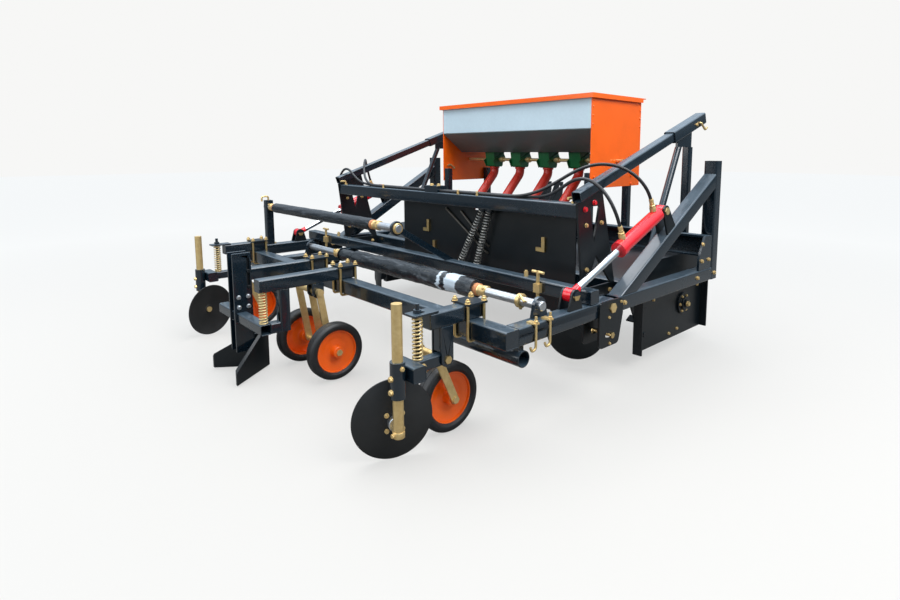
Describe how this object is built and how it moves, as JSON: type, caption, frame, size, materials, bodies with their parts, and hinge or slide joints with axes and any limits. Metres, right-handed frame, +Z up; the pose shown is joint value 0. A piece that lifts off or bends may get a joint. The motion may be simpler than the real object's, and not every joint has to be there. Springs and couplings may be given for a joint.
{
  "type": "ridging mulch layer",
  "caption": "Tractor-drawn tiller with fertiliser hopper and a hinged rear frame, lifted by hydraulic cylinders, that ridges soil and lays mulch film behind.",
  "frame": {"origin": "on the ground, in the middle of the machine's footprint", "axes": "+X to the machine's right, +Y forwards to the tractor, +Z up"},
  "size_m": [2.52, 2.342, 1.435],
  "materials": {
    "frame_paint": "semi-gloss blue-grey paint",
    "dark_paint": "near-black paint",
    "gold_zinc": "yellow zinc plating",
    "spring_steel": "plated spring wire",
    "bright_steel": "bare machined steel",
    "orange_paint": "gloss orange paint",
    "pale_panel": "pale sheet",
    "grey_panel": "grey sheet",
    "green_paint": "green paint",
    "red_tube": "red plastic tube",
    "red_paint": "gloss red paint",
    "chrome": "chromed rod",
    "tyre": "black rubber",
    "film": "rolled film",
    "hose": "black hose"
  },
  "bodies": {
    "front_frame": {"front_side_frames": "frame_paint", "hinge_quadrants": "frame_paint", "cylinder_lugs": "frame_paint", "tiller_hood": "frame_paint", "tiller_side_plates": "dark_paint", "rotor_bearing": "dark_paint", "gear_drive": "frame_paint", "hitch_mast": "frame_paint", "front_pins": "gold_zinc", "upper_frame": "frame_paint", "end_plates": "dark_paint", "ridge_formers": "dark_paint", "sloped_arms": "frame_paint", "hopper_legs": "frame_paint", "hopper_ends": "orange_paint", "hopper_upper_walls": "pale_panel", "hopper_lower_walls": "grey_panel", "meter_boxes": "green_paint", "drop_tubes": "red_tube", "hydraulic_hoses": "hose"},
    "rotor": {"rotor": "dark_paint"},
    "input_shaft": {"pto_shaft": "bright_steel"},
    "metering_shaft": {"metering_shaft": "gold_zinc"},
    "lid": {"hopper_lid": "orange_paint"},
    "board": {"rear_board": "dark_paint", "board_fittings": "gold_zinc", "board_springs": "spring_steel"},
    "rear_frame": {"rear_frame_tubes": "frame_paint", "clevis_lugs": "frame_paint", "rear_hardware": "gold_zinc", "unit_arms": "frame_paint", "roll_brackets": "frame_paint", "share_bracket": "frame_paint", "centre_spring": "spring_steel", "right_spring": "spring_steel", "left_spring": "spring_steel"},
    "near_roll": {"near_roll": "film"},
    "upper_roll": {"upper_roll": "film"},
    "share": {"share": "dark_paint"},
    "centre_fork": {"centre_fork": "gold_zinc"},
    "centre_wheel_right": {"centre_rim_right": "orange_paint", "centre_tyre_right": "tyre"},
    "centre_wheel_left": {"centre_rim_left": "orange_paint", "centre_tyre_left": "tyre"},
    "right_barrel": {"right_barrel": "red_paint"},
    "right_rod": {"right_rod": "chrome"},
    "right_unit": {"right_lower_arm": "frame_paint"},
    "right_shank": {"right_shank": "gold_zinc"},
    "right_disc": {"right_disc": "dark_paint"},
    "right_fork": {"right_fork": "gold_zinc"},
    "right_wheel": {"right_wheel_rim": "orange_paint", "right_tyre": "tyre"},
    "left_barrel": {"left_barrel": "red_paint"},
    "left_rod": {"left_rod": "chrome"},
    "left_unit": {"left_lower_arm": "frame_paint"},
    "left_shank": {"left_shank": "gold_zinc"},
    "left_disc": {"left_disc": "dark_paint"},
    "left_fork": {"left_fork": "gold_zinc"},
    "left_wheel": {"left_wheel_rim": "orange_paint", "left_tyre": "tyre"}
  },
  "joints": [
    {"name": "rotor_spin", "type": "hinge", "parent": "front_frame", "child": "rotor", "pos_m": [0, 0.884, 0.253], "axis": [1, 0, 0], "continuous": true},
    {"name": "input_spin", "type": "hinge", "parent": "front_frame", "child": "input_shaft", "pos_m": [0, 1, 0.7], "axis": [0, 1, 0], "continuous": true},
    {"name": "metering_spin", "type": "hinge", "parent": "front_frame", "child": "metering_shaft", "pos_m": [0, 0.875, 1.0475], "axis": [1, 0, 0], "continuous": true},
    {"name": "lid_hinge", "type": "hinge", "parent": "front_frame", "child": "lid", "pos_m": [0, 1.162, 1.42], "axis": [-1, 0, 0], "range_deg": [0, 110]},
    {"name": "board_hinge", "type": "hinge", "parent": "front_frame", "child": "board", "pos_m": [0, 0.048, 0.815], "axis": [-1, 0, 0], "range_deg": [0, 12], "deforming": ["board_springs"]},
    {"name": "lift", "type": "hinge", "parent": "front_frame", "child": "rear_frame", "pos_m": [0, -0.045, 0.435], "axis": [-1, 0, 0], "range_deg": [0, 18]},
    {"name": "near_roll_spin", "type": "hinge", "parent": "rear_frame", "child": "near_roll", "pos_m": [0, -0.465, 0.515], "axis": [1, 0, 0], "continuous": true},
    {"name": "upper_roll_spin", "type": "hinge", "parent": "rear_frame", "child": "upper_roll", "pos_m": [0, -0.5, 0.728], "axis": [1, 0, 0], "continuous": true},
    {"name": "share_slide", "type": "slide", "parent": "rear_frame", "child": "share", "axis": [0, 0, 1], "range_m": [0, 0.06]},
    {"name": "centre_fork_swing", "type": "hinge", "parent": "rear_frame", "child": "centre_fork", "pos_m": [0, -0.825, 0.428], "axis": [1, 0, 0], "range_deg": [0, 10]},
    {"name": "centre_wheel_right_spin", "type": "hinge", "parent": "centre_fork", "child": "centre_wheel_right", "pos_m": [0.167, -0.778, 0.14], "axis": [1, 0, 0], "continuous": true},
    {"name": "centre_wheel_left_spin", "type": "hinge", "parent": "centre_fork", "child": "centre_wheel_left", "pos_m": [-0.167, -0.778, 0.14], "axis": [1, 0, 0], "continuous": true},
    {"name": "right_barrel_pivot", "type": "hinge", "parent": "front_frame", "child": "right_barrel", "pos_m": [1.208, 0.422, 0.818], "axis": [-1, 0, 0], "range_deg": [-0.5, 4.8], "deforming": ["hydraulic_hoses"]},
    {"name": "right_rod_slide", "type": "slide", "parent": "right_barrel", "child": "right_rod", "axis": [0, 0.9255, 0.3788], "range_m": [-0.001, 0.066]},
    {"name": "right_arm_swing", "type": "hinge", "parent": "rear_frame", "child": "right_unit", "pos_m": [1.015, -0.8, 0.345], "axis": [-1, 0, 0], "range_deg": [0, 6], "deforming": ["right_spring"]},
    {"name": "right_shank_slide", "type": "slide", "parent": "right_unit", "child": "right_shank", "axis": [0, 0, 1], "range_m": [-0.04, 0.012]},
    {"name": "right_disc_spin", "type": "hinge", "parent": "right_shank", "child": "right_disc", "pos_m": [0.98414, -0.99721, 0.15], "axis": [-0.9397, 0.342, 0], "continuous": true},
    {"name": "right_fork_swing", "type": "hinge", "parent": "rear_frame", "child": "right_fork", "pos_m": [0.931, -0.8, 0.345], "axis": [1, 0, 0], "range_deg": [0, 10]},
    {"name": "right_wheel_spin", "type": "hinge", "parent": "right_fork", "child": "right_wheel", "pos_m": [0.931, -0.709, 0.14], "axis": [1, 0, 0], "continuous": true},
    {"name": "left_barrel_pivot", "type": "hinge", "parent": "front_frame", "child": "left_barrel", "pos_m": [-1.208, 0.422, 0.818], "axis": [-1, 0, 0], "range_deg": [-0.5, 4.8], "deforming": ["hydraulic_hoses"]},
    {"name": "left_rod_slide", "type": "slide", "parent": "left_barrel", "child": "left_rod", "axis": [0, 0.9255, 0.3788], "range_m": [-0.001, 0.066]},
    {"name": "left_arm_swing", "type": "hinge", "parent": "rear_frame", "child": "left_unit", "pos_m": [-1.015, -0.8, 0.345], "axis": [-1, 0, 0], "range_deg": [0, 6], "deforming": ["left_spring"]},
    {"name": "left_shank_slide", "type": "slide", "parent": "left_unit", "child": "left_shank", "axis": [0, 0, 1], "range_m": [-0.04, 0.012]},
    {"name": "left_disc_spin", "type": "hinge", "parent": "left_shank", "child": "left_disc", "pos_m": [-0.98414, -0.99721, 0.15], "axis": [0.9397, 0.342, 0], "continuous": true},
    {"name": "left_fork_swing", "type": "hinge", "parent": "rear_frame", "child": "left_fork", "pos_m": [-0.931, -0.8, 0.345], "axis": [1, 0, 0], "range_deg": [0, 10]},
    {"name": "left_wheel_spin", "type": "hinge", "parent": "left_fork", "child": "left_wheel", "pos_m": [-0.931, -0.709, 0.14], "axis": [1, 0, 0], "continuous": true}
  ],
  "couplings": [
    {"joint": "input_spin", "follows": "rotor_spin", "ratio": 2.5},
    {"joint": "right_barrel_pivot", "follows": "lift", "ratio": 0.2272},
    {"joint": "right_rod_slide", "follows": "lift", "m_per_rad": 0.1987},
    {"joint": "left_barrel_pivot", "follows": "lift", "ratio": 0.2272},
    {"joint": "left_rod_slide", "follows": "lift", "m_per_rad": 0.1987}
  ]
}
